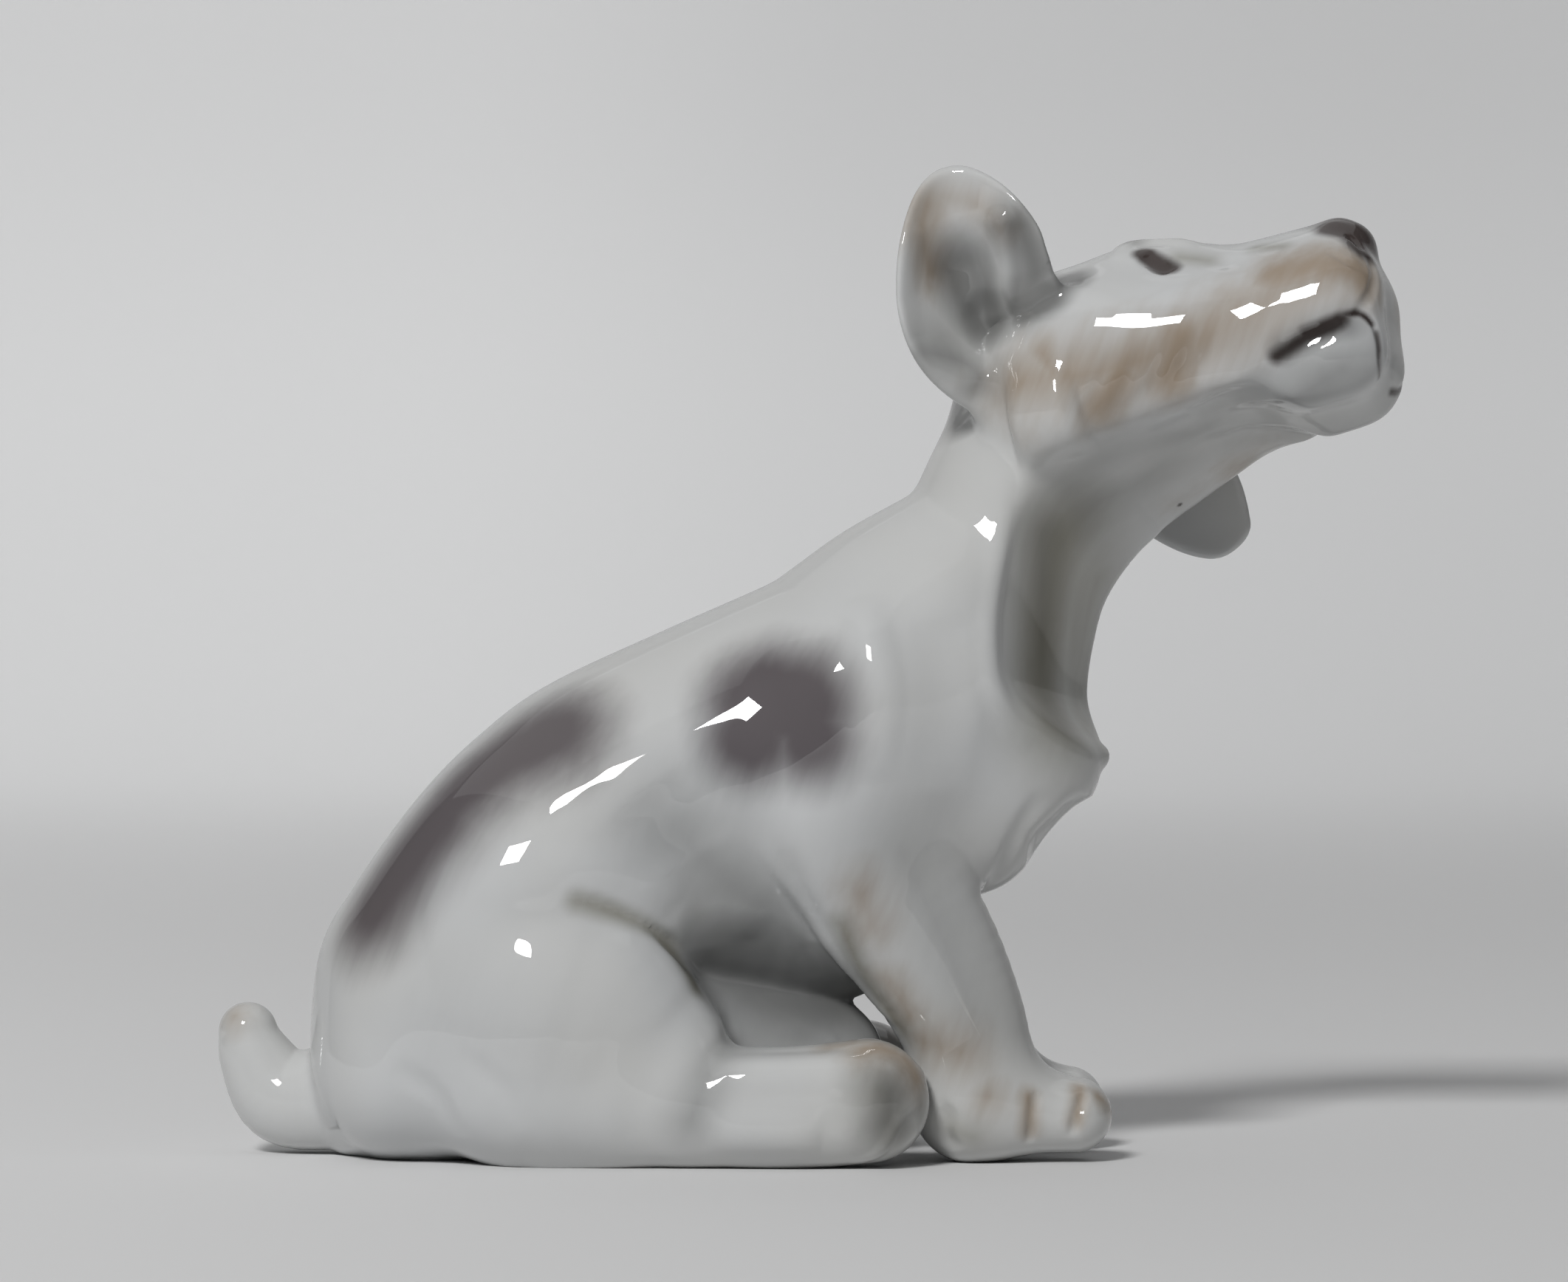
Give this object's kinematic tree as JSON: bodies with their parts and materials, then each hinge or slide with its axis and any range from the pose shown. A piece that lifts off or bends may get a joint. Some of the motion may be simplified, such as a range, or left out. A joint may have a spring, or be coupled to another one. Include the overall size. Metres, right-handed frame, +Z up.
{
  "type": "porcelain dog figurine",
  "caption": "Seated porcelain puppy figurine leaning on straight forelegs, with a long neck, a square muzzle, short ears and a stub tail, glazed white with soft dark painted patches.",
  "frame": {"origin": "middle of the figure's length and width, on the surface that it stands on", "axes": "+X from the tail towards the nose, +Y towards the puppy's left side, +Z up"},
  "size_m": [0.1768, 0.0628, 0.1473],
  "materials": {
    "glazed_porcelain": "clear glossy glaze over white porcelain, with soft grey, violet grey and tan underglaze painting on the back, rump, shoulder, head and toes",
    "fired_slip": "fired porcelain slip in the joints, under the same clear glaze"
  },
  "bodies": {
    "root": {"torso_casting": "glazed_porcelain", "head_casting": "glazed_porcelain", "ear_right": "glazed_porcelain", "ear_left": "glazed_porcelain", "foreleg_right": "glazed_porcelain", "foreleg_left": "glazed_porcelain", "hind_foot_right": "glazed_porcelain", "hind_foot_left": "glazed_porcelain", "tail_casting": "glazed_porcelain", "neck_slip": "fired_slip", "ear_right_slip": "fired_slip", "ear_left_slip": "fired_slip", "foreleg_right_slip": "fired_slip", "foreleg_left_slip": "fired_slip", "hind_foot_right_slip": "fired_slip", "hind_foot_left_slip": "fired_slip", "tail_slip": "fired_slip"}
  },
  "joints": []
}
